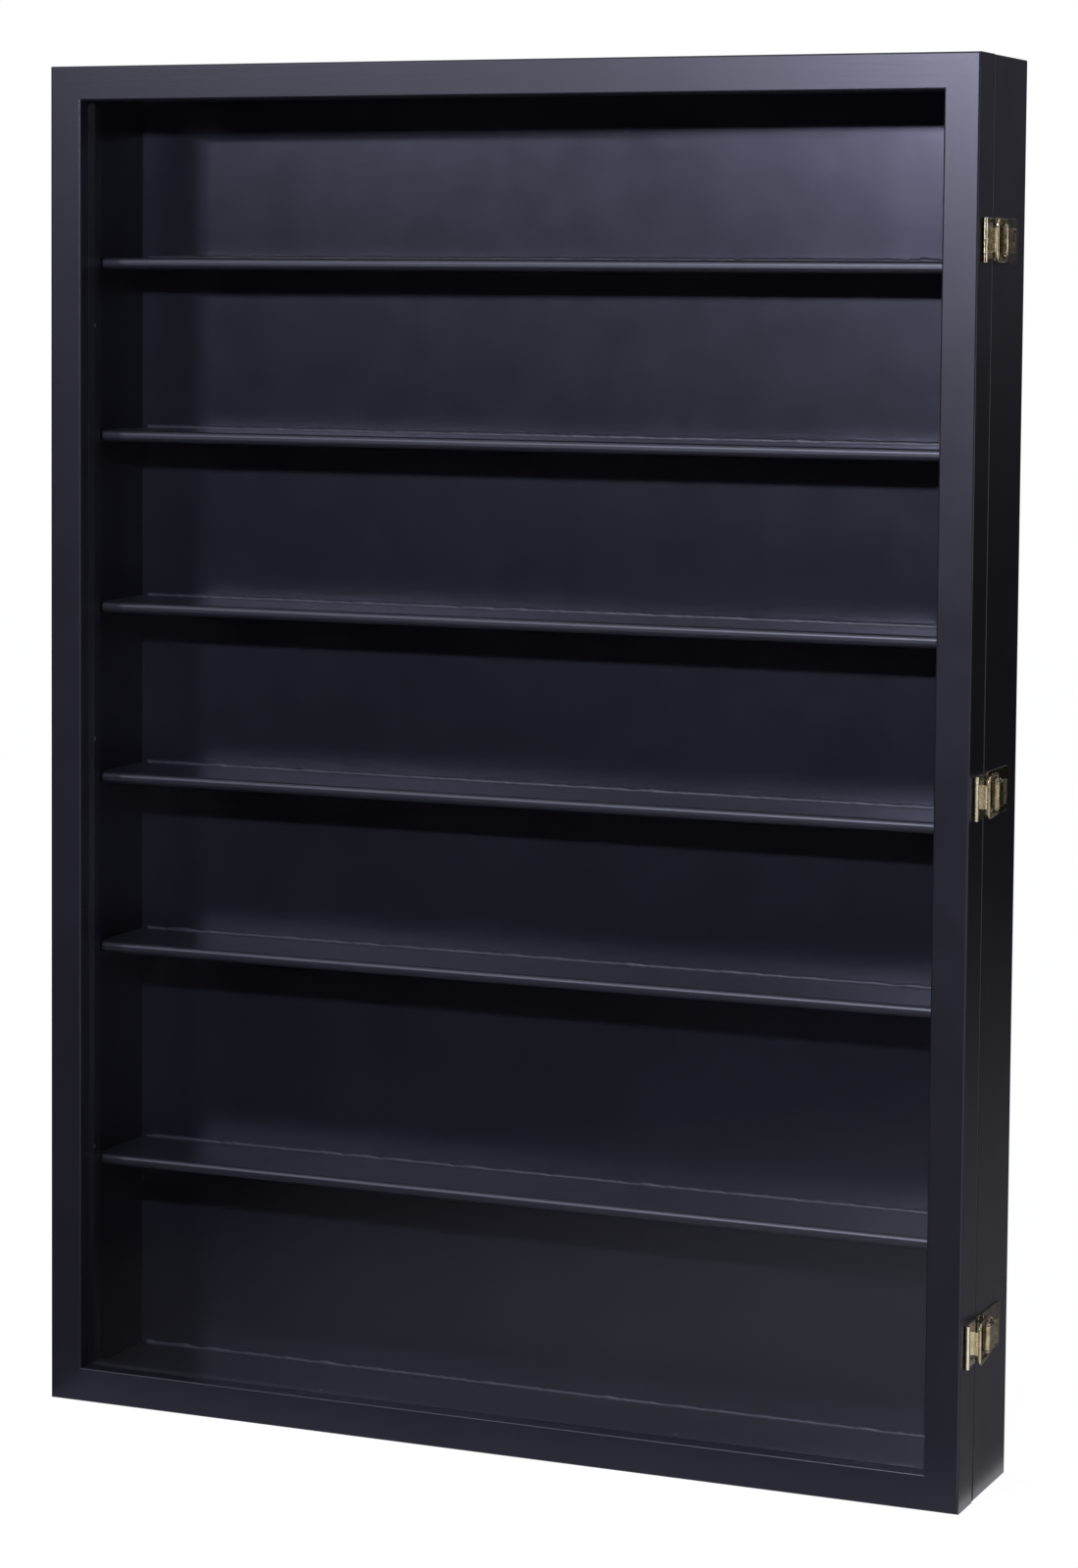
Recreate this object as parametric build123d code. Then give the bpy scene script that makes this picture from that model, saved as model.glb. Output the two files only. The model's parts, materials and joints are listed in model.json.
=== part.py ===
from build123d import *
import os

# Wall display cabinet for small glasses: a shallow black case with six shelves,
# a glazed door hinged on the left, and three toggle latches on the right.
# Millimetres, Z up, front towards -Y. The origin is the centre of the back, at the wall.
# A depth is measured from the front of the door towards the wall.

# Whole cabinet
cabinet_width = 508.0
cabinet_height = 711.0
cabinet_depth = 79.0

# Door frame, pane and glazing strips
door_thickness = 23.6
door_gap = 0.4
frame_width = 18.0
frame_lip = 8.0
glazing_rabbet = 6.0
frame_edge_radius = 1.0
pane_thickness = 2.0
pane_margin = 0.5
strip_setback = 1.0
strip_edge_radius = 1.2

# Case boards, back panel and shelves
board_thickness = 14.0
board_edge_radius = 1.0
corner_housing = 7.0
back_thickness = 3.0
back_rabbet = 6.0
shelf_thickness = 6.0
shelf_setback = 1.4
shelf_nose_radius = 2.4
shelf_housing = 4.0
tall_compartments = 2
tall_compartment_height = 109.5
low_compartments = 5

# Brads that hold the back panel and the glazing strips
brad_radius = 0.6
brad_head_radius = 1.1
brad_head_height = 0.5
back_brad_length = 12.0
strip_brad_length = 9.0
brad_end_distance = 135.5
brad_side_distance = 154.0

# Keyhole hanger plates let into the rear edges of the two sides
hanger_width = 11.0
hanger_height = 44.0
hanger_thickness = 1.6
hanger_corner_radius = 2.5
hanger_drop = 60.0
keyhole_radius = 3.75
keyhole_slot_radius = 1.9
keyhole_rise = 11.0
keyhole_pocket_depth = 7.0
keyhole_pocket_margin = 0.6
hanger_screw_pitch = 35.0
hanger_screw_head_radius = 2.7
hanger_screw_radius = 1.3
hanger_screw_length = 13.0

# Butt hinges, with their leaves let into the case and the door
hinge_end_distance = 85.5
hinge_height = 38.0
hinge_leaf_reach = 10.5
hinge_leaf_thickness = 1.0
hinge_leaf_gap = 0.1
hinge_leaf_root_gap = 0.35
hinge_leaf_corner = 1.5
hinge_pin_radius = 1.0
hinge_pin_head_radius = 1.6
hinge_pin_head_height = 0.8
hinge_knuckles = 5
hinge_knuckle_gap = 0.15
hinge_side_clearance = 0.35
running_clearance = 0.05
hinge_screw_pitch = 24.0
hinge_screw_inset = 5.6
hinge_screw_head_radius = 2.2
hinge_screw_radius = 1.1
hinge_screw_length = 9.0

# Toggle latches across the seam on the right side
latch_end_distance = 85.5
latch_drop = 4.0
latch_plate_thickness = 0.9
latch_edge_radius = 0.3
moving_gap = 0.35

# Latch base on the case
base_setback = 2.2
base_length = 37.8
base_height = 22.4
base_corner_radius = 3.5
ear_radius = 2.3
ear_thickness = 0.9
pin_setback = 4.8
pin_stand = 4.0
pin_radius = 0.9
pin_head_radius = 1.4
pin_head_height = 0.7

# Latch lever, a folded channel with a curled thumb lip
lever_height = 12.0
lever_sheet = 0.9
lever_flat = 6.0
lever_waist = 10.8
lever_waist_stand = 3.6
lever_waist_sheet = 1.2
lever_length = 15.4
lever_lip_stand = 5.2
lever_bend_radius = 1.6

# Latch loop, bent from wire
wire_radius = 0.9
loop_height = 19.2
loop_bend_radius = 2.4
loop_pivot_offset = 6.0
loop_pivot_stand = 2.9
toe_inside = 0.3

# Latch catch on the door
catch_height = 21.5
catch_length = 15.6
catch_setback = 1.8
catch_bead_radius = 1.3
hook_height = 11.5
hook_setback = 3.7
hook_thickness = 1.0
hook_stand = 4.2
hook_curl = 1.9
bar_ahead_of_hook = 3.5

# Nails of the latch plates
nail_radius = 0.6
nail_head_radius = 1.3
nail_head_height = 0.6
nail_length = 9.0
base_front_nail_setback = 9.4
base_front_nail_height = 8.5
base_rear_nail_setback = 23.3
base_rear_nail_height = 4.75
catch_nail_setback = 5.8
catch_nail_height = 7.0

# Places that follow from the sizes above
half_width = cabinet_width / 2
half_height = cabinet_height / 2
hinge_z = half_height - hinge_end_distance
latch_z = half_height - latch_end_distance
front_y = -cabinet_depth
door_back_y = front_y + door_thickness
case_front_y = door_back_y + door_gap
back_inner_y = -back_thickness
inner_half_width = half_width - board_thickness
inner_half_height = half_height - board_thickness
shelf_front_y = case_front_y + shelf_setback
hanger_x = half_width - board_thickness / 2
hanger_z = half_height - hanger_drop
levels = {"top": 1, "middle": 0, "bottom": -1}

parts = {}


def slab(x_range, y_range, z_range):
    """A box between two X, two Y and two Z values."""
    size = [high - low for low, high in (x_range, y_range, z_range)]
    centre = [(low + high) / 2 for low, high in (x_range, y_range, z_range)]
    return Pos(*centre) * Box(*size)


def lathe_fastener(head_radius, head_height, shank_radius, length, countersunk):
    """A screw or nail along -Z. A countersunk head ends at Z = 0, another one stands on it."""
    shank = Pos(0, 0, -length / 2) * Cylinder(shank_radius, length)
    if countersunk:
        head = Pos(0, 0, -head_height / 2) * Cone(shank_radius, head_radius, head_height)
    else:
        head = Pos(0, 0, head_height / 2) * Cone(head_radius, shank_radius, head_height)
    return shank + head


towards_wall = Rot(90, 0, 0)
towards_front = Rot(-90, 0, 0)
towards_left = Rot(0, 90, 0)
towards_right = Rot(0, -90, 0)
towards_up = Rot(180, 0, 0)
towards_down = Rot(0, 0, 0)


def mirrored(solid):
    """The same piece for the other side of the cabinet."""
    return mirror(solid, about=Plane.YZ)


def mitred(profile, width, depth, length):
    """A bar along Z with this profile, its outer edge at X = 0, cut to 45 degrees at both ends."""
    bar = extrude(profile, amount=length / 2, both=True)
    half = length / 2
    outline = Polyline((0, -half), (0, half), (width, half - width), (width, width - half), close=True)
    ends = extrude(Plane.XZ * make_face(outline), amount=-depth)
    return bar & ends


def four_sides(bar_for_length, width, height, y):
    """The left, right, top and bottom bars of a mitred rectangle of this outer size."""
    upright = bar_for_length(height)
    level = bar_for_length(width)
    left = Pos(-width / 2, y, 0) * upright
    top = Pos(0, y, height / 2) * Rot(0, 90, 0) * level
    bottom = Pos(0, y, -height / 2) * Rot(0, -90, 0) * level
    return left, mirrored(left), top, bottom


# Compartments and shelves, from the bottom up: the tall compartments come first
compartment_count = tall_compartments + low_compartments
shelf_space = 2 * inner_half_height - (compartment_count - 1) * shelf_thickness
low_compartment_height = (shelf_space - tall_compartments * tall_compartment_height) / low_compartments
compartment_middles = []
compartment_tops = []
level_z = -inner_half_height
for index in range(compartment_count):
    height = tall_compartment_height if index < tall_compartments else low_compartment_height
    compartment_middles.append(level_z + height / 2)
    compartment_tops.append(level_z + height)
    level_z += height + shelf_thickness
shelf_bottoms = compartment_tops[:-1]


def make_door_frame():
    """Stiles and rails with a rabbet behind the lip, mitred at the corners."""

    def bar(length):
        whole = Rectangle(frame_width, door_thickness, align=(Align.MIN, Align.MIN))
        rabbet = Rectangle(glazing_rabbet, door_thickness - frame_lip, align=(Align.MAX, Align.MAX))
        profile = whole - Pos(frame_width, door_thickness) * rabbet
        front = profile.vertices().group_by(Axis.Y)[0]
        outer_back = profile.vertices().group_by(Axis.Y)[-1].sort_by(Axis.X)[0]
        profile = fillet(list(front) + [outer_back], frame_edge_radius)
        return mitred(profile, frame_width, door_thickness, length)

    return four_sides(bar, cabinet_width, cabinet_height, front_y)


def make_glazing_strips():
    """Square strips that hold the pane in the rabbet, flush with the opening."""
    depth = door_thickness - frame_lip - pane_thickness - strip_setback

    def bar(length):
        profile = Rectangle(glazing_rabbet, depth, align=(Align.MIN, Align.MIN))
        corner = profile.vertices().group_by(Axis.Y)[-1].sort_by(Axis.X)[-1]
        return mitred(fillet(corner, strip_edge_radius), glazing_rabbet, depth, length)

    outer = 2 * (frame_width - glazing_rabbet)
    y = front_y + frame_lip + pane_thickness
    return four_sides(bar, cabinet_width - outer, cabinet_height - outer, y)


def make_strip_brads():
    """Brads driven outwards through the glazing strips into the frame."""
    brad = lathe_fastener(brad_head_radius, brad_head_height, brad_radius, strip_brad_length, True)
    x = half_width - frame_width
    z = half_height - frame_width
    y = front_y + (frame_lip + pane_thickness + door_thickness - strip_setback) / 2
    brads = []
    for step in (-1, 0, 1):
        brad_z = step * (half_height - brad_end_distance)
        brads.append(Pos(-x, y, brad_z) * towards_left * brad)
        brads.append(Pos(x, y, brad_z) * towards_right * brad)
    for step in (-1, 1):
        brad_x = step * (half_width - brad_side_distance)
        brads.append(Pos(brad_x, y, z) * towards_up * brad)
        brads.append(Pos(brad_x, y, -z) * towards_down * brad)
    return brads


def make_back_brads():
    """Brads through the back panel into the four boards, at the sides between the shelves."""
    brad = lathe_fastener(brad_head_radius, brad_head_height, brad_radius, back_brad_length, True)
    x = inner_half_width + back_rabbet / 2
    z = inner_half_height + back_rabbet / 2
    brads = []
    for index in (0, compartment_count // 2, compartment_count - 2):
        for side in (-x, x):
            brads.append(Pos(side, 0, compartment_middles[index]) * towards_front * brad)
    for step in (-1, 1):
        brad_x = step * (half_width - brad_side_distance)
        for end in (-z, z):
            brads.append(Pos(brad_x, 0, end) * towards_front * brad)
    return brads


def make_hanger():
    """The right hanger plate, its pocket and its screws, all at the right rear edge."""
    z_range = (hanger_z - hanger_height / 2, hanger_z + hanger_height / 2)
    x_range = (hanger_x - hanger_width / 2, hanger_x + hanger_width / 2)
    blank = slab(x_range, (-hanger_thickness, 0), z_range)
    blank = fillet(blank.edges().filter_by(Axis.Y), hanger_corner_radius)
    entry_z = hanger_z - keyhole_rise / 2
    top_z = hanger_z + keyhole_rise / 2
    pocket_half = keyhole_radius + keyhole_pocket_margin
    deep_y = -hanger_thickness - keyhole_pocket_depth
    pocket_z = (entry_z - pocket_half, top_z + pocket_half)
    pocket = slab((hanger_x - pocket_half, hanger_x + pocket_half), (deep_y, 0), pocket_z)
    pocket = fillet(pocket.edges().filter_by(Axis.Y), keyhole_radius)
    through = 2 * hanger_thickness
    slot_x = (hanger_x - keyhole_slot_radius, hanger_x + keyhole_slot_radius)
    keyhole = Pos(hanger_x, 0, entry_z) * towards_wall * Cylinder(keyhole_radius, through)
    keyhole += Pos(hanger_x, 0, top_z) * towards_wall * Cylinder(keyhole_slot_radius, through)
    keyhole += slab(slot_x, (-hanger_thickness, hanger_thickness), (entry_z, top_z))
    screw = lathe_fastener(
        hanger_screw_head_radius, hanger_thickness, hanger_screw_radius, hanger_screw_length, True
    )
    screws = []
    for step in (-0.5, 0.5):
        place = Pos(hanger_x, 0, hanger_z + step * hanger_screw_pitch)
        screws.append(place * towards_front * screw)
    plate = blank - keyhole
    for screw_here in screws:
        plate -= screw_here
    return plate, blank + pocket, screws


hinge_axis_x = -half_width - hinge_side_clearance - (
    hinge_pin_radius + running_clearance + hinge_leaf_thickness
)
hinge_axis_y = door_back_y + door_gap / 2
knuckle_radius = hinge_pin_radius + running_clearance + hinge_leaf_thickness
knuckle_length = (hinge_height - (hinge_knuckles - 1) * hinge_knuckle_gap) / hinge_knuckles


def make_leaf(first_knuckle, towards_back, bore_radius):
    """One hinge leaf at Z = 0 with every second knuckle, starting with this one."""
    sign = 1 if towards_back else -1
    near = hinge_axis_y + sign * hinge_leaf_gap / 2
    far = near + sign * hinge_leaf_thickness
    y_range = (min(near, far), max(near, far))
    plate_x = hinge_axis_x + knuckle_radius + hinge_leaf_root_gap
    end_x = -half_width + hinge_leaf_reach
    z_half = hinge_height / 2
    leaf = slab((plate_x, end_x), y_range, (-z_half, z_half))
    corners = leaf.edges().filter_by(Axis.Y).group_by(Axis.X)[-1]
    leaf = fillet(corners, hinge_leaf_corner)
    axis = Pos(hinge_axis_x, hinge_axis_y, 0)
    for knuckle in range(first_knuckle, hinge_knuckles, 2):
        low = -z_half + knuckle * (knuckle_length + hinge_knuckle_gap)
        high = low + knuckle_length
        barrel = axis * Pos(0, 0, (low + high) / 2) * Cylinder(knuckle_radius, knuckle_length)
        tab = slab((hinge_axis_x + bore_radius, plate_x + hinge_leaf_root_gap), y_range, (low, high))
        leaf += barrel + tab
    return leaf - axis * Cylinder(bore_radius, 2 * hinge_height)


def make_hinge_mortise(towards_back):
    """The shallow recess for one leaf, with the leaf's own outline."""
    plane_y = case_front_y if towards_back else door_back_y
    sign = 1 if towards_back else -1
    far = hinge_axis_y + sign * (hinge_leaf_gap / 2 + hinge_leaf_thickness)
    outside = plane_y - sign * door_gap
    x_range = (-half_width - hinge_leaf_thickness, -half_width + hinge_leaf_reach)
    z_half = hinge_height / 2
    recess = slab(x_range, (min(far, outside), max(far, outside)), (-z_half, z_half))
    corners = recess.edges().filter_by(Axis.Y).group_by(Axis.X)[-1]
    return fillet(corners, hinge_leaf_corner)


def make_hinge_pin():
    """The pin, fast in the case leaf, with a button at each end."""
    pin = Cylinder(hinge_pin_radius, hinge_height)
    top = Pos(0, 0, (hinge_height + hinge_pin_head_height) / 2)
    button = Cone(hinge_pin_head_radius, hinge_pin_radius, hinge_pin_head_height)
    pin += top * button
    pin += Rot(180, 0, 0) * top * button
    return Pos(hinge_axis_x, hinge_axis_y, 0) * pin


def make_hinge_screws(towards_back):
    """The two screws of one leaf at Z = 0."""
    screw = lathe_fastener(
        hinge_screw_head_radius, hinge_leaf_thickness, hinge_screw_radius, hinge_screw_length, True
    )
    sign = 1 if towards_back else -1
    turn = towards_wall if towards_back else towards_front
    y = hinge_axis_y + sign * hinge_leaf_gap / 2
    x = -half_width + hinge_screw_inset
    return [Pos(x, y, step * hinge_screw_pitch) * turn * screw for step in (-0.5, 0.5)]


# Latch places, as depths from the front and stands proud of the right side
base_front = door_thickness + door_gap + base_setback
pin_depth = base_front + pin_setback
loop_pivot_depth = pin_depth + loop_pivot_offset
catch_back = door_thickness - catch_setback
catch_front = catch_back - catch_length
hook_back = catch_back - hook_setback
bar_depth = hook_back - bar_ahead_of_hook
bar_stand = hook_stand + moving_gap + wire_radius
lever_half = lever_height / 2
ear_inner = lever_half + moving_gap
ear_outer = ear_inner + ear_thickness


def make_latch_nails(depth, height, plate_thickness):
    """A pair of nails, above and below the latch's middle, driven to the left."""
    nail = lathe_fastener(nail_head_radius, nail_head_height, nail_radius, nail_length, False)
    turned = towards_left * nail
    return [Pos(plate_thickness, depth, side * height) * turned for side in (-1, 1)]


def make_latch_base():
    """The base plate with two ears that carry the lever's pin."""
    y_range = (base_front, base_front + base_length)
    plate = slab((0, latch_plate_thickness), y_range, (-base_height / 2, base_height / 2))
    plate = fillet(plate.edges().filter_by(Axis.X), base_corner_radius)
    plate = fillet(plate.faces().sort_by(Axis.X)[-1].edges(), latch_edge_radius)
    for side in (-1, 1):
        z = side * (ear_inner + ear_outer) / 2
        ear = Pos(pin_stand, pin_depth, z) * Cylinder(ear_radius, ear_thickness)
        z_range = (z - ear_thickness / 2, z + ear_thickness / 2)
        ear += slab((0, pin_stand), (pin_depth - ear_radius, pin_depth + ear_radius), z_range)
        plate += ear
    return plate - Pos(pin_stand, pin_depth, 0) * Cylinder(pin_radius, base_height)


def make_latch_pin():
    """The lever's pin, riveted over at both ears."""
    pin = Cylinder(pin_radius, 2 * ear_outer)
    top = Pos(0, 0, ear_outer + pin_head_height / 2)
    button = Cone(pin_head_radius, pin_radius, pin_head_height)
    pin += top * button
    pin += Rot(180, 0, 0) * top * button
    return Pos(pin_stand, pin_depth, 0) * pin


def make_lever():
    """A channel folded round its pin, tapering to a waist and a curled thumb lip."""
    top = pin_stand + ear_radius
    low = pin_stand - ear_radius
    underside = loop_pivot_stand - wire_radius - lever_sheet / 2
    waist = pin_depth + lever_waist
    tip = pin_depth + lever_length
    outline = FilletPolyline(
        (top, pin_depth),
        (top, pin_depth + lever_flat),
        (lever_waist_stand, waist),
        (lever_lip_stand, tip),
        (lever_lip_stand - lever_sheet, tip + lever_sheet / 2),
        (lever_waist_stand - lever_waist_sheet, waist + lever_sheet / 2),
        (underside, pin_depth + lever_flat + lever_bend_radius),
        (underside, pin_depth + lever_flat),
        (low, pin_depth),
        radius=[0, lever_bend_radius, lever_bend_radius, 0, 0, lever_bend_radius, 0, 0, 0],
        close=True,
    )
    body = extrude(make_face(outline), amount=lever_half, both=True)
    pin_place = Pos(pin_stand, pin_depth, 0)
    body += pin_place * Cylinder(ear_radius, lever_height)
    inner_half = lever_half - lever_sheet
    hollow_top = top - lever_sheet
    hollow_outline = Polyline(
        (hollow_top, pin_depth),
        (hollow_top, pin_depth + lever_flat),
        (lever_waist_stand - lever_sheet, waist - lever_bend_radius),
        (0, waist - lever_bend_radius),
        (0, pin_depth),
        close=True,
    )
    hollow = extrude(make_face(hollow_outline), amount=inner_half, both=True)
    hollow += pin_place * Cylinder(ear_radius - lever_sheet, 2 * inner_half)
    toe_holes = Pos(loop_pivot_stand, loop_pivot_depth, 0)
    toe_holes *= Cylinder(wire_radius + running_clearance, 2 * lever_height)
    pin_hole = pin_place * Cylinder(pin_radius + running_clearance, 2 * lever_height)
    return body - hollow - pin_hole - toe_holes


def make_loop():
    """One wire: two toes in the lever, two arms, and the bar that lies in the catch."""
    toe = lever_half - lever_sheet + toe_inside
    half = loop_height / 2
    pivot = (loop_pivot_stand, loop_pivot_depth)
    bar = (bar_stand, bar_depth)
    path = FilletPolyline(
        (*pivot, toe),
        (*pivot, half),
        (*bar, half),
        (*bar, -half),
        (*pivot, -half),
        (*pivot, -toe),
        radius=loop_bend_radius,
    )
    section = Plane(origin=(*pivot, toe), z_dir=(0, 0, 1)) * Circle(wire_radius)
    return sweep(section, path=path)


def make_catch():
    """The catch plate with a rolled front edge and a curled hook."""
    y_range = (catch_front + catch_bead_radius, catch_back)
    plate = slab((0, latch_plate_thickness), y_range, (-catch_height / 2, catch_height / 2))
    bead_y = catch_front + catch_bead_radius
    plate += Pos(catch_bead_radius, bead_y, 0) * Cylinder(catch_bead_radius, catch_height)
    hook_front = hook_back - hook_thickness
    tip_y = hook_back - hook_curl
    bend_x = hook_stand - hook_curl
    inner_x = hook_stand - hook_thickness
    outline = [
        Polyline((0, hook_front), (0, hook_back), (bend_x, hook_back)),
        RadiusArc((bend_x, hook_back), (hook_stand, tip_y), -hook_curl),
        Polyline((hook_stand, tip_y), (inner_x, tip_y)),
        RadiusArc((inner_x, tip_y), (bend_x, hook_front), hook_curl - hook_thickness),
        Polyline((bend_x, hook_front), (0, hook_front)),
    ]
    hook = extrude(make_face(Curve() + outline), amount=hook_height / 2, both=True)
    return plate + hook


# Door
names = ("door_stile_left", "door_stile_right", "door_rail_top", "door_rail_bottom")
door = dict(zip(names, make_door_frame()))
names = ("glazing_strip_left", "glazing_strip_right", "glazing_strip_top", "glazing_strip_bottom")
strips = dict(zip(names, make_glazing_strips()))
pane_half_x = half_width - frame_width + glazing_rabbet - pane_margin
pane_half_z = half_height - frame_width + glazing_rabbet - pane_margin
pane_y = (front_y + frame_lip, front_y + frame_lip + pane_thickness)
strip_brads = make_strip_brads()
for brad in strip_brads:
    for name in strips:
        strips[name] -= brad
    for name in door:
        door[name] -= brad

# Case
side_z = (-half_height, half_height)
case_y = (case_front_y, 0)
side = slab((inner_half_width, half_width), case_y, side_z)
outer_edges = side.edges().group_by(Axis.X)[-1]
side = fillet(outer_edges, board_edge_radius)
housing_x = (inner_half_width - corner_housing, inner_half_width + corner_housing)
end_board = slab(
    (-inner_half_width - corner_housing, inner_half_width + corner_housing),
    case_y,
    (inner_half_height, half_height),
)
back = slab(
    (-inner_half_width - back_rabbet, inner_half_width + back_rabbet),
    (back_inner_y, 0),
    (-inner_half_height - back_rabbet, inner_half_height + back_rabbet),
)
lower_board = mirror(end_board, about=Plane.XY)
side -= end_board
side -= lower_board
side -= back
end_board -= back
lower_board -= back
shelf_x = (-inner_half_width - shelf_housing, inner_half_width + shelf_housing)
for number, bottom in enumerate(reversed(shelf_bottoms), start=1):
    place = (shelf_x, (shelf_front_y, back_inner_y), (bottom, bottom + shelf_thickness))
    shelf = slab(*place)
    side -= shelf
    nose = shelf.edges().filter_by(Axis.X).group_by(Axis.Y)[0]
    parts[f"shelf_{number}"] = fillet(nose, shelf_nose_radius)

hanger_plate, hanger_pocket, hanger_screws = make_hanger()
side -= hanger_pocket
back = back - hanger_pocket - mirrored(hanger_pocket)
for screw in hanger_screws:
    side -= screw
    back = back - screw - mirrored(screw)
left_side = mirrored(side)
right_side = side
back_brads = make_back_brads()
for brad in back_brads:
    back -= brad
    left_side -= brad
    right_side -= brad
    end_board -= brad
    lower_board -= brad

# Hinges
case_leaf = make_leaf(0, True, hinge_pin_radius)
door_leaf = make_leaf(1, False, hinge_pin_radius + running_clearance)
case_screws = make_hinge_screws(True)
door_screws = make_hinge_screws(False)
for screw in case_screws:
    case_leaf -= screw
for screw in door_screws:
    door_leaf -= screw
case_hinge_screws = []
door_hinge_screws = []
for level, step in levels.items():
    place = Pos(0, 0, step * hinge_z)
    parts[f"hinge_case_leaf_{level}"] = place * case_leaf
    parts[f"hinge_door_leaf_{level}"] = place * door_leaf
    parts[f"hinge_pin_{level}"] = place * make_hinge_pin()
    left_side -= place * make_hinge_mortise(True)
    door["door_stile_left"] -= place * make_hinge_mortise(False)
    for screw in case_screws:
        left_side -= place * screw
        case_hinge_screws.append(place * screw)
    for screw in door_screws:
        door["door_stile_left"] -= place * screw
        door_hinge_screws.append(place * screw)

# Latches
latch_base = make_latch_base()
latch_catch = make_catch()
rear_nail_depth = base_front + base_rear_nail_setback
front_nail_depth = base_front + base_front_nail_setback
base_nails = make_latch_nails(rear_nail_depth, base_rear_nail_height, latch_plate_thickness)
base_nails += make_latch_nails(front_nail_depth, base_front_nail_height, latch_plate_thickness)
catch_nails = make_latch_nails(catch_front + catch_nail_setback, catch_nail_height, latch_plate_thickness)
for nail in base_nails:
    latch_base -= nail
for nail in catch_nails:
    latch_catch -= nail
case_latch_nails = []
door_latch_nails = []
for level, step in levels.items():
    place = Pos(half_width, front_y, step * latch_z - latch_drop)
    parts[f"latch_base_{level}"] = place * latch_base
    parts[f"latch_pin_{level}"] = place * make_latch_pin()
    parts[f"latch_lever_{level}"] = place * make_lever()
    parts[f"latch_loop_{level}"] = place * make_loop()
    parts[f"latch_catch_{level}"] = place * latch_catch
    for nail in base_nails:
        right_side -= place * nail
        case_latch_nails.append(place * nail)
    for nail in catch_nails:
        door["door_stile_right"] -= place * nail
        door_latch_nails.append(place * nail)

parts.update(door)
parts.update(strips)
parts["glazing_pane"] = slab((-pane_half_x, pane_half_x), pane_y, (-pane_half_z, pane_half_z))
parts["glazing_strip_brads"] = Part() + strip_brads
parts["case_side_left"] = left_side
parts["case_side_right"] = right_side
parts["case_top"] = end_board
parts["case_bottom"] = lower_board
parts["back_panel"] = back
parts["back_panel_brads"] = Part() + back_brads
parts["hanger_plate_right"] = hanger_plate
parts["hanger_plate_left"] = mirrored(hanger_plate)
parts["hanger_screws"] = Part() + hanger_screws + [mirrored(screw) for screw in hanger_screws]
parts["hinge_case_screws"] = Part() + case_hinge_screws
parts["hinge_door_screws"] = Part() + door_hinge_screws
parts["latch_base_nails"] = Part() + case_latch_nails
parts["latch_catch_nails"] = Part() + door_latch_nails

os.makedirs("parts", exist_ok=True)
for name, solid in parts.items():
    export_step(solid, f"parts/{name}.step")
print(len(parts), "parts written")
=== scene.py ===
import json
import math

import bmesh
import bpy
from mathutils import Matrix, Vector, noise


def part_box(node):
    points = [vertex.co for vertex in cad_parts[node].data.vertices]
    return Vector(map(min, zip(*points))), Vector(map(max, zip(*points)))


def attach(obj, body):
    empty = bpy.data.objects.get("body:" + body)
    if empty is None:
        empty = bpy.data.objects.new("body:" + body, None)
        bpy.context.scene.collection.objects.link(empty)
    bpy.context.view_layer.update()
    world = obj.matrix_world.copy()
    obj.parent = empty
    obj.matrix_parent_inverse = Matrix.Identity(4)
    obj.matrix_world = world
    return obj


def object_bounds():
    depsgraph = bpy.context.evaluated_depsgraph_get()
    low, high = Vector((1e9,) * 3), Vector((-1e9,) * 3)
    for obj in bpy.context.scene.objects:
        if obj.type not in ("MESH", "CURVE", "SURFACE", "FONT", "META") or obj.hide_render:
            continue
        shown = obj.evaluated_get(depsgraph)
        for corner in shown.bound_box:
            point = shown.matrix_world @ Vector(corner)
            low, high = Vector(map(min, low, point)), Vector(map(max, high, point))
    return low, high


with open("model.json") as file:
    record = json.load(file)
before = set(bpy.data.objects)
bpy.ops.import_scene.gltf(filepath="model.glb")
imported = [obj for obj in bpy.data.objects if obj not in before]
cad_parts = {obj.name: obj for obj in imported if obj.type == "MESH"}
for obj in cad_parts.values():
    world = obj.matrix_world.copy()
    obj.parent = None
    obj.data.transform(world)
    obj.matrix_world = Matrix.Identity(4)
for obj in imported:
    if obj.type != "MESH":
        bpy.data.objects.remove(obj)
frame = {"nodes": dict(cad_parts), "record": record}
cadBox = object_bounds()
print("frame loaded:", len(frame["nodes"]), "nodes")


# Materials

def hexColour(text):  # an sRGB hex value as a linear colour
    channels = [int(text[at:at + 2], 16) / 255 for at in (0, 2, 4)]
    linear = [c / 12.92 if c <= 0.04045 else ((c + 0.055) / 1.055) ** 2.4 for c in channels]
    return (*linear, 1.0)


def addNode(tree, kind, sockets=None, **settings):  # a node with its settings, values and links
    node = tree.nodes.new(kind)
    for name, value in settings.items():
        setattr(node, name, value)
    for name, value in (sockets or {}).items():
        if isinstance(value, bpy.types.NodeSocket):
            tree.links.new(value, node.inputs[name])
        else:
            node.inputs[name].default_value = value
    return node


def perMetre(millimetres):  # the noise scale whose features are about this size
    return 1000 / millimetres


def startMaterial(name):  # an empty material with its Principled shader
    material = bpy.data.materials.new(name)
    material.use_nodes = True
    tree = material.node_tree
    tree.nodes.clear()
    shader = addNode(tree, "ShaderNodeBsdfPrincipled")
    addNode(tree, "ShaderNodeOutputMaterial", {"Surface": shader.outputs[0]})
    return material, tree, shader


noiseSpan = (0.3, 0.7)  # where nearly all of the noise lies


def patchy(tree, place, size, low, high, detail=2.0):  # noise spread between two values
    cloud = addNode(tree, "ShaderNodeTexNoise",
                    {"Vector": place, "Scale": perMetre(size), "Detail": detail})
    spread = addNode(tree, "ShaderNodeMapRange",
                     {"Value": cloud.outputs["Fac"], "From Min": noiseSpan[0],
                      "From Max": noiseSpan[1], "To Min": low, "To Max": high})
    return spread.outputs["Result"]


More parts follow.
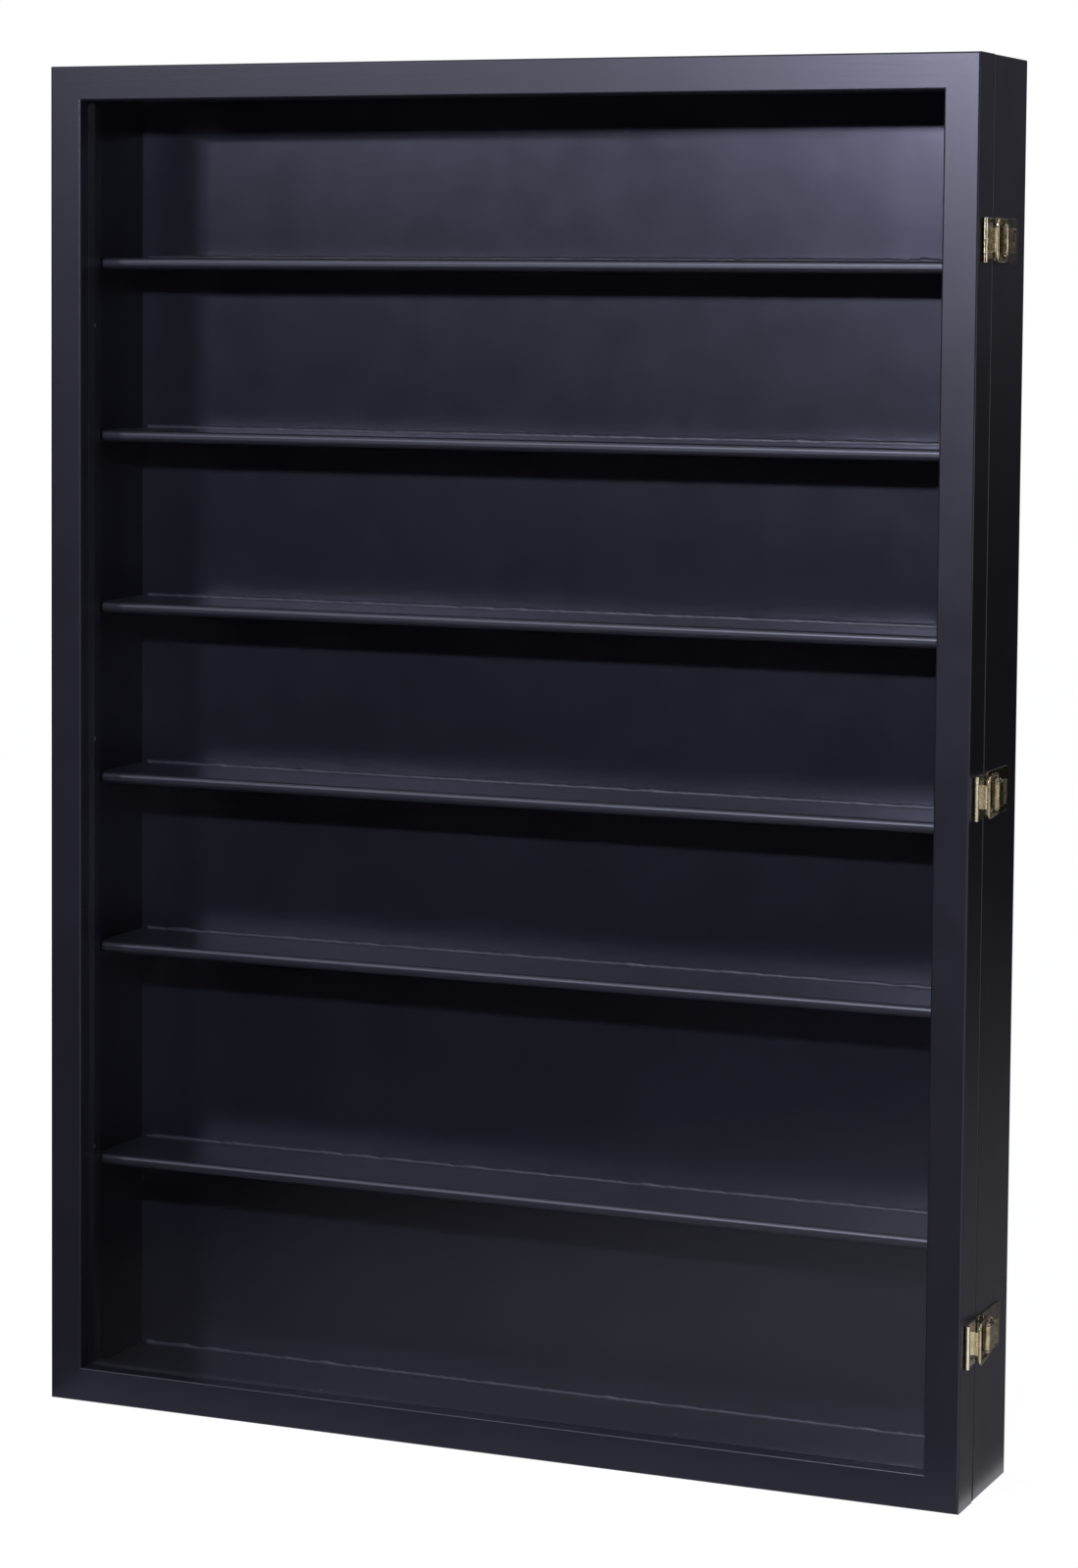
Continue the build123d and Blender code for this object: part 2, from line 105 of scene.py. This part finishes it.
def edgeMask(tree, radius, low, high):  # 1 where an edge turns within this radius, else 0
    rounded = addNode(tree, "ShaderNodeBevel", {"Radius": radius / 1000}, samples=6)
    flat = addNode(tree, "ShaderNodeNewGeometry")
    alike = addNode(tree, "ShaderNodeVectorMath",
                    {0: rounded.outputs["Normal"], 1: flat.outputs["True Normal"]},
                    operation="DOT_PRODUCT")
    mask = addNode(tree, "ShaderNodeMapRange",
                   {"Value": alike.outputs["Value"], "From Min": high, "From Max": low,
                    "To Min": 0.0, "To Max": 1.0})
    return mask.outputs["Result"], rounded.outputs["Normal"]


def blendColours(tree, share, first, second):
    mix = addNode(tree, "ShaderNodeMix", data_type="RGBA")
    for socket, value in ((mix.inputs[0], share), (mix.inputs[6], first), (mix.inputs[7], second)):
        if isinstance(value, bpy.types.NodeSocket):
            tree.links.new(value, socket)
        else:
            socket.default_value = value
    return mix.outputs[2]


# Satin black lacquer, sprayed over fine-grained wood: a soft violet-grey sheen
# where it faces the window light, nearly black elsewhere.
boardLacquer = {
    "colour": "19181f", "thin": "1d1c24", "cloudSize": 70.0,
    "roughness": (0.32, 0.35), "specular": 0.59, "ior": 1.50, "tint": "e2e2fa",
    "peelSize": 1.7, "peelHeight": 0.006, "dragSize": 2.6, "dragHeight": 0.006,
    "dragAxis": (1.0, 1.0, 0.05),
}
# The same coat with its grain lying level, on rails, case top and bottom.
railLacquer = dict(boardLacquer, dragAxis=(0.05, 1.0, 1.0))
# Smooth thin board takes the lacquer glossier: a clearer, deeper sheen behind the pane.
backLacquer = dict(boardLacquer, colour="17161d", thin="1c1b22", roughness=(0.235, 0.255),
                   specular=0.88, ior=1.56, peelSize=1.2, peelHeight=0.003,
                   dragSize=3.4, dragHeight=0.003, dragAxis=(0.15, 1.0, 1.0))
# The shelves' rounded fronts are rougher, with a lighter colour painted on them as a highlight.
shelfLacquer = dict(railLacquer, specular=0.95, tint="ececfc", noseHighlightColour="1c1c22",
                    noseRoughness=0.40, noseDepth=2.4, noseFull=0.8)
# Lacquer run into the corner and dried there: duller and dimpled; its greyer tone is partly a
# painted highlight.
beadLacquer = dict(boardLacquer, colour="26262d", thin="34343c", roughness=(0.38, 0.46),
                   specular=0.5, tint="ececfa", peelSize=2.2, peelHeight=0.06)


def makeLacquer(name, look):
    material, tree, shader = startMaterial(name)
    place = addNode(tree, "ShaderNodeTexCoord").outputs["Object"]
    drawn = addNode(tree, "ShaderNodeMapping", {"Vector": place, "Scale": look["dragAxis"]})
    cloud = patchy(tree, place, look["cloudSize"], 0.0, 1.0, detail=4.0)
    colour = blendColours(tree, cloud, hexColour(look["colour"]), hexColour(look["thin"]))
    rough = patchy(tree, place, look["cloudSize"] / 3, *look["roughness"])
    if "noseDepth" in look:
        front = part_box("shelf_1")[0].y
        deep = look["noseDepth"] / 1000
        depth = addNode(tree, "ShaderNodeSeparateXYZ", {"Vector": place}).outputs["Y"]
        nose = addNode(tree, "ShaderNodeMapRange",
                       {"Value": depth, "From Min": front + deep,
                        "From Max": front + look["noseFull"] * deep,
                        "To Min": 0.0, "To Max": 1.0}).outputs["Result"]
        # painted highlight: the rounded shelf fronts turn to a lighter colour
        colour = blendColours(tree, nose, colour, hexColour(look["noseHighlightColour"]))
        rough = addNode(tree, "ShaderNodeMapRange",
                        {"Value": nose, "From Min": 0.0, "From Max": 1.0,
                         "To Min": rough, "To Max": look["noseRoughness"]}).outputs["Result"]
    tree.links.new(colour, shader.inputs["Base Color"])
    tree.links.new(rough, shader.inputs["Roughness"])
    shader.inputs["IOR"].default_value = look["ior"]
    shader.inputs["Specular IOR Level"].default_value = look["specular"]
    shader.inputs["Specular Tint"].default_value = hexColour(look["tint"])
    peel = patchy(tree, place, look["peelSize"], 0.0, 1.0)
    drag = patchy(tree, drawn.outputs["Vector"], look["dragSize"], 0.0, 1.0)
    fine = addNode(tree, "ShaderNodeBump",
                   {"Height": peel, "Distance": look["peelHeight"] / 1000})
    both = addNode(tree, "ShaderNodeBump",
                   {"Height": drag, "Distance": look["dragHeight"] / 1000,
                    "Normal": fine.outputs["Normal"]})
    tree.links.new(both.outputs["Normal"], shader.inputs["Normal"])
    return material


# Clear cast acrylic: two polished faces, seen by their reflections alone.
acrylicLook = {"tint": "fbfcff", "roughness": 0.0, "ior": 1.49}


def makeAcrylic(name, look):  # refracts what is seen through it, lets lamps and gloss straight by
    material, tree, shader = startMaterial(name)
    shader.inputs["Base Color"].default_value = hexColour(look["tint"])
    shader.inputs["Roughness"].default_value = look["roughness"]
    shader.inputs["IOR"].default_value = look["ior"]
    shader.inputs["Transmission Weight"].default_value = 1.0
    clear = addNode(tree, "ShaderNodeBsdfTransparent", {"Color": hexColour(look["tint"])})
    path = addNode(tree, "ShaderNodeLightPath")
    passed = addNode(tree, "ShaderNodeMath",
                     {0: path.outputs["Is Shadow Ray"], 1: path.outputs["Is Reflection Ray"]},
                     operation="MAXIMUM")
    sheet = addNode(tree, "ShaderNodeMixShader",
                    {"Fac": passed.outputs[0], 1: shader.outputs[0], 2: clear.outputs[0]})
    tree.links.new(sheet.outputs[0], tree.nodes["Material Output"].inputs["Surface"])
    return material


# Antiqued brass: a brown-olive patina, with near-white edges and crowns that are partly wear and
# partly painted highlight.
antiqueBrass = {
    "patina": "8f8770", "patinaDark": "5d5643", "edgeWearAndHighlight": "fff8e4", "cloudSize": 3.0,
    "roughness": (0.24, 0.40), "edge": 0.35, "edgeTurn": (0.90, 0.995),
    "pitSize": 0.5, "pitHeight": 0.010,
}
# The catches: a pale, bright copy of the brass, a painted highlight.
highlightBrass = dict(antiqueBrass, patina="f0e8d2", patinaDark="cfc4a8", cloudSize=4.5,
                 roughness=(0.20, 0.32))
# Levers and loops: a mottled brown beige, lighter than the plain brass as a painted
# half-highlight.
halfHighlightBrass = dict(antiqueBrass, patina="cbbca0", patinaDark="93846a", cloudSize=3.5)
# Satin rolled brass: an even warm yellow with a soft shine.
hingeBrass = {
    "patina": "a88a4a", "patinaDark": "8a6f3a", "edgeWearAndHighlight": "d9c07e", "cloudSize": 6.0,
    "roughness": (0.26, 0.38), "edge": 0.3, "edgeTurn": (0.90, 0.995),
    "pitSize": 0.6, "pitHeight": 0.006,
}
# Bright zinc plating: cool grey with faint spangle and a soft shine.
zincPlate = {
    "patina": "9a9c9c", "patinaDark": "848788", "edgeWearAndHighlight": "c4c6c6", "cloudSize": 2.5,
    "roughness": (0.30, 0.44), "edge": 0.3, "edgeTurn": (0.90, 0.995),
    "pitSize": 0.5, "pitHeight": 0.006,
}


def makeMetal(name, look):
    material, tree, shader = startMaterial(name)
    place = addNode(tree, "ShaderNodeTexCoord").outputs["Object"]
    edge, rounded = edgeMask(tree, look["edge"], *look["edgeTurn"])
    cloud = patchy(tree, place, look["cloudSize"], 0.0, 1.0, detail=4.0)
    aged = blendColours(tree, cloud, hexColour(look["patinaDark"]), hexColour(look["patina"]))
    # edges and crowns painted lighter: partly wear, partly painted highlight
    colour = blendColours(tree, edge, aged, hexColour(look["edgeWearAndHighlight"]))
    tree.links.new(colour, shader.inputs["Base Color"])
    shader.inputs["Metallic"].default_value = 1.0
    tree.links.new(patchy(tree, place, look["cloudSize"] / 2, *look["roughness"]),
                   shader.inputs["Roughness"])
    pits = patchy(tree, place, look["pitSize"], 0.0, 1.0)
    bump = addNode(tree, "ShaderNodeBump",
                   {"Height": pits, "Distance": look["pitHeight"] / 1000, "Normal": rounded})
    tree.links.new(bump.outputs["Normal"], shader.inputs["Normal"])
    return material


finishes = {
    "stileLacquer": makeLacquer("sprayedSatinLacquerUpright", boardLacquer),
    "railLacquer": makeLacquer("sprayedSatinLacquerLevel", railLacquer),
    "shelfLacquer": makeLacquer("sprayedSatinLacquerShelf", shelfLacquer),
    "backLacquer": makeLacquer("sprayedSatinLacquerBack", backLacquer),
    "beadLacquer": makeLacquer("driedLacquerBead", beadLacquer),
    "acrylic": makeAcrylic("clearCastAcrylic", acrylicLook),
    "antiqueBrass": makeMetal("antiquedBrass", antiqueBrass),
    "highlightBrass": makeMetal("antiquedBrassPaintedHighlight", highlightBrass),
    "halfHighlightBrass": makeMetal("antiquedBrassPaintedHalfHighlight", halfHighlightBrass),
    "hingeBrass": makeMetal("satinHingeBrass", hingeBrass),
    "zinc": makeMetal("brightZincPlate", zincPlate),
}

finishOf = {  # by the slot in the record
    "black_lacquer": "stileLacquer", "back_lacquer": "backLacquer", "clear_acrylic": "acrylic",
    "antique_brass": "antiqueBrass", "hinge_brass": "hingeBrass", "zinc_steel": "zinc",
}
finishByName = {  # by how a node's name starts, where its slot has several finishes
    "case_top": "railLacquer", "case_bottom": "railLacquer", "door_rail": "railLacquer",
    "glazing_strip_top": "railLacquer", "glazing_strip_bottom": "railLacquer",
    "shelf_": "shelfLacquer", "latch_catch": "highlightBrass", "latch_loop": "halfHighlightBrass",
    "latch_lever": "halfHighlightBrass",
}
for part in frame["record"]["subparts"]:
    name = part["node"]
    finish = finishOf[part["material_slot"]]
    for start, named in finishByName.items():
        finish = named if name.startswith(start) else finish
    mesh = frame["nodes"][name].data
    mesh.materials.clear()
    mesh.materials.append(finishes[finish])
print("finishes:", len(finishes))


# Beads of hardened lacquer and glue along the back of each shelf, in millimetres
beadLook = {
    "height": 1.7, "depth": 0.8, "step": 1.6, "rings": 12, "inset": 3.0, "boardThickness": 14.0,
    "wobble": 0.5, "wave": 11.0, "ripple": 3.1, "rippleShare": 0.8, "rippleSeed": 5,
    "bottomSeed": 11,
}


def addBead(name, start, length, seed):  # a wobbly ridge along X, taller than deep
    look = beadLook
    count = int(length * 1000 / look["step"])
    bm = bmesh.new()
    ring = bmesh.ops.create_circle(bm, segments=look["rings"], radius=0.001, cap_ends=False)
    bmesh.ops.rotate(bm, verts=ring["verts"], cent=(0, 0, 0),
                     matrix=Matrix.Rotation(math.pi / 2, 3, "Y"))
    bmesh.ops.scale(bm, verts=ring["verts"], vec=(1, look["depth"], look["height"]))
    bmesh.ops.translate(bm, verts=ring["verts"], vec=start)
    bmesh.ops.spin(bm, geom=bm.edges[:], cent=start, axis=(1, 0, 0), angle=0.0, steps=count,
                   dvec=(length / count, 0, 0), use_merge=False, use_duplicate=False)
    bmesh.ops.holes_fill(bm, edges=bm.edges[:])
    for vert in bm.verts:
        along = vert.co.x * 1000
        size = 1 + look["wobble"] * noise.noise(Vector((along / look["wave"], seed, 0)))
        size += look["rippleShare"] * look["wobble"] * noise.noise(
            Vector((along / look["ripple"], seed, look["rippleSeed"])))
        vert.co.y = start[1] + (vert.co.y - start[1]) * size
        vert.co.z = start[2] + (vert.co.z - start[2]) * size
    bmesh.ops.recalc_face_normals(bm, faces=bm.faces[:])
    mesh = bpy.data.meshes.new(name)
    bm.to_mesh(mesh)
    bm.free()
    mesh.shade_smooth()
    bead = bpy.data.objects.new(name, mesh)
    bpy.context.scene.collection.objects.link(bead)
    mesh.materials.append(finishes["beadLacquer"])
    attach(bead, "case")


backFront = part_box("back_panel")[0].y
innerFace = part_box("case_side_right")[1].x - beadLook["boardThickness"] / 1000
reach = innerFace - beadLook["inset"] / 1000
for number in range(1, 7):
    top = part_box(f"shelf_{number}")[1].z
    addBead(f"shelf_bead_{number}", (-reach, backFront, top), 2 * reach, number)
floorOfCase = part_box("case_bottom")[1].z
addBead("bottom_bead", (-reach, backFront, floorOfCase), 2 * reach, beadLook["bottomSeed"])
print("beads added")


# Stage in metres: pale floor, white backdrop, and the cloths and curtain that only gloss sees.
# Each of these is a near tone, a far tone, the distances where it starts and ends to turn
# from one to the other, and the point that the distances are taken from; the lighter near tone is
# a painted pool of light.
stageLook = {
    "paper": "e6e6e6", "glow": 1.19, "glowShare": 0.80, "floorHalf": 4.62,
    "floorGap": 0.0004, "clothGap": 0.0002, "edgeGap": 0.0001, "edgeDepth": 0.05,
    "curtainRadius": 4.6, "curtainTop": 3.4, "openFrom": 98.0, "openTo": 165.0,
    "curtain": ("aaaab0", "060606", 1.66, 1.92, (1.6, 4.2, 1.9)),
    "frontCloth": ("a2a2a4", "0a0a0b", 0.20, 0.95, (0.45, -0.35, 0.0)),
    "edgeCloth": ("fafaff", "dcdce2", 0.10, 0.60, (0.30, -0.10, 0.0)),
    "sideCloth": ("a8a8aa", "060606", 0.60, 2.00, (0.45, 0.0, 0.0)),
}
floorHeight = cadBox[0][2] - stageLook["floorGap"]
clothHeight = cadBox[0][2] - stageLook["clothGap"]
edgeHeight = cadBox[0][2] - stageLook["edgeGap"]


def seenRay(tree):  # 1 for camera, gloss and glass rays
    path = addNode(tree, "ShaderNodeLightPath")
    sight = path.outputs["Is Camera Ray"]
    for kind in ("Is Glossy Ray", "Is Transmission Ray"):
        sight = addNode(tree, "ShaderNodeMath", {0: sight, 1: path.outputs[kind]},
                        operation="MAXIMUM").outputs[0]
    return sight


def makePaper(name, look):  # white to camera, gloss and glass; plain pale paper to light
    material = bpy.data.materials.new(name)
    material.use_nodes = True
    tree = material.node_tree
    tree.nodes.clear()
    paper = addNode(tree, "ShaderNodeBsdfDiffuse", {"Color": hexColour(look["paper"])})
    glow = addNode(tree, "ShaderNodeEmission", {"Strength": look["glow"]})
    lit = addNode(tree, "ShaderNodeMixShader",
                  {"Fac": look["glowShare"], 1: paper.outputs[0], 2: glow.outputs[0]})
    seen = addNode(tree, "ShaderNodeMixShader",
                   {"Fac": seenRay(tree), 1: paper.outputs[0], 2: lit.outputs[0]})
    addNode(tree, "ShaderNodeOutputMaterial", {"Surface": seen.outputs[0]})
    return material


def addStage(name, bm, material):  # an object of the stage from a finished bmesh
    mesh = bpy.data.meshes.new(name)
    bm.to_mesh(mesh)
    bm.free()
    mesh.materials.append(material)
    thing = bpy.data.objects.new(name, mesh)
    bpy.context.scene.collection.objects.link(thing)
    return thing


def addSheet(name, low, high, height, material):  # a level rectangle of the stage
    bm = bmesh.new()
    bmesh.ops.create_grid(bm, x_segments=1, y_segments=1, size=0.5)
    bmesh.ops.scale(bm, vec=(high[0] - low[0], high[1] - low[1], 1), verts=bm.verts[:])
    bmesh.ops.translate(bm, vec=((low[0] + high[0]) / 2, (low[1] + high[1]) / 2, height),
                        verts=bm.verts[:])
    return addStage(name, bm, material)


def makeCloth(name, near, far, start, end, centre):  # a painted pool of light near a point, dark beyond
    material = bpy.data.materials.new(name)
    material.use_nodes = True
    tree = material.node_tree
    tree.nodes.clear()
    place = addNode(tree, "ShaderNodeTexCoord").outputs["Object"]
    reach = addNode(tree, "ShaderNodeVectorMath", {0: place, 1: centre}, operation="DISTANCE")
    share = addNode(tree, "ShaderNodeMapRange",
                    {"Value": reach.outputs["Value"], "From Min": start, "From Max": end,
                     "To Min": 0.0, "To Max": 1.0})
    tone = blendColours(tree, share.outputs["Result"], hexColour(near), hexColour(far))
    cloth = addNode(tree, "ShaderNodeBsdfDiffuse", {"Color": tone})
    addNode(tree, "ShaderNodeOutputMaterial", {"Surface": cloth.outputs[0]})
    return material


def onlyReflected(thing):  # a flag outside the picture, seen in gloss alone
    thing.visible_camera = False
    thing.visible_diffuse = False
    thing.visible_transmission = False
    thing.visible_shadow = False


half = stageLook["floorHalf"]
frontEdge = cadBox[0][1]
leftEdge, rightEdge = cadBox[0][0], cadBox[1][0]
addSheet("floor", (-half, -half), (half, half), floorHeight, makePaper("pale_paper", stageLook))
frontCloth = makeCloth("front_cloth", *stageLook["frontCloth"])
edgeCloth = makeCloth("edge_cloth", *stageLook["edgeCloth"])
sideCloth = makeCloth("side_cloth", *stageLook["sideCloth"])
onlyReflected(addSheet("front_cloth", (-half, -half), (rightEdge, frontEdge),
                       clothHeight, frontCloth))
onlyReflected(addSheet("edge_cloth", (leftEdge, frontEdge - stageLook["edgeDepth"]),
                       (rightEdge, frontEdge), edgeHeight, edgeCloth))
onlyReflected(addSheet("side_cloth", (rightEdge, frontEdge), (half, half),
                       clothHeight, sideCloth))

# The curtain runs all round but for a gap behind on the left, where the white wall shows.
# Its lighter tone is a painted patch of light, high behind on the right.
curtain = makeCloth("dark_curtain", *stageLook["curtain"])
bm = bmesh.new()
turn = math.radians(360 - (stageLook["openTo"] - stageLook["openFrom"]))
radius = stageLook["curtainRadius"]
lower = bm.verts.new((radius, 0, floorHeight))
upper = bm.verts.new((radius, 0, stageLook["curtainTop"]))
bm.edges.new((lower, upper))
bmesh.ops.rotate(bm, verts=bm.verts[:], cent=(0, 0, 0),
                 matrix=Matrix.Rotation(math.radians(stageLook["openTo"]), 3, "Z"))
bmesh.ops.spin(bm, geom=bm.verts[:] + bm.edges[:], cent=(0, 0, 0), axis=(0, 0, 1), angle=turn,
               steps=48, use_merge=False, use_duplicate=False)
onlyReflected(addStage("curtain", bm, curtain))

# The room's soft fill, and pure white for what looks straight at it
fill = {"level": 0.3, "colour": "f1f2ff"}
world = bpy.data.worlds.new("studio")
bpy.context.scene.world = world
world.use_nodes = True
tree = world.node_tree
tree.nodes.clear()
room = addNode(tree, "ShaderNodeBackground",
               {"Color": hexColour(fill["colour"]), "Strength": fill["level"]})
white = addNode(tree, "ShaderNodeBackground", {"Color": (1, 1, 1, 1), "Strength": 1.0})
air = addNode(tree, "ShaderNodeMixShader",
              {"Fac": seenRay(tree), 1: room.outputs[0], 2: white.outputs[0]})
addNode(tree, "ShaderNodeOutputWorld", {"Surface": air.outputs[0]})

# Lamps: place, aim, width, height, watts, colour
lamps = {
    "near_softbox": ((-0.066, -1.43, 0.615), (0, 0, 0), 0.06, 0.06, 14.5, "f6f6ff"),
    "far_softbox": ((-0.954, -1.764, 0.762), (0, 0, 0), 0.25, 0.06, 6.1, "f6f6ff"),
    "side_softbox": ((1.7, 0.05, 0.30), (0.25, 0, 0), 0.5, 0.9, 3.8, "fffcf6"),
}


def addLamp(name, place, aim, width, height, power, colour):
    lamp = bpy.data.lights.new(name, "AREA")
    lamp.shape = "RECTANGLE"
    lamp.size = width
    lamp.size_y = height
    lamp.energy = power
    lamp.color = hexColour(colour)[:3]
    thing = bpy.data.objects.new(name, lamp)
    thing.location = place
    thing.rotation_euler = (Vector(aim) - Vector(place)).to_track_quat("-Z", "Y").to_euler()
    thing.visible_camera = False
    bpy.context.scene.collection.objects.link(thing)


for name, setting in lamps.items():
    addLamp(name, *setting)
print("stage and lamps set")


# Camera, matched to the photograph's edges
view = {"place": (0.82596, -1.95030, 0.23742), "turn": (85.8846, -0.4681, 23.1569),
        "lens": 93.142, "sensor": 36.0, "shift": (0.00062, -0.12513)}
camera = bpy.data.cameras.new("camera")
camera.lens = view["lens"]
camera.sensor_width = view["sensor"]
camera.shift_x, camera.shift_y = view["shift"]
eye = bpy.data.objects.new("camera", camera)
eye.location = view["place"]
eye.rotation_euler = [math.radians(angle) for angle in view["turn"]]
bpy.context.scene.collection.objects.link(eye)
bpy.context.scene.camera = eye
bpy.context.scene.view_settings.view_transform = "Standard"
print("camera set")
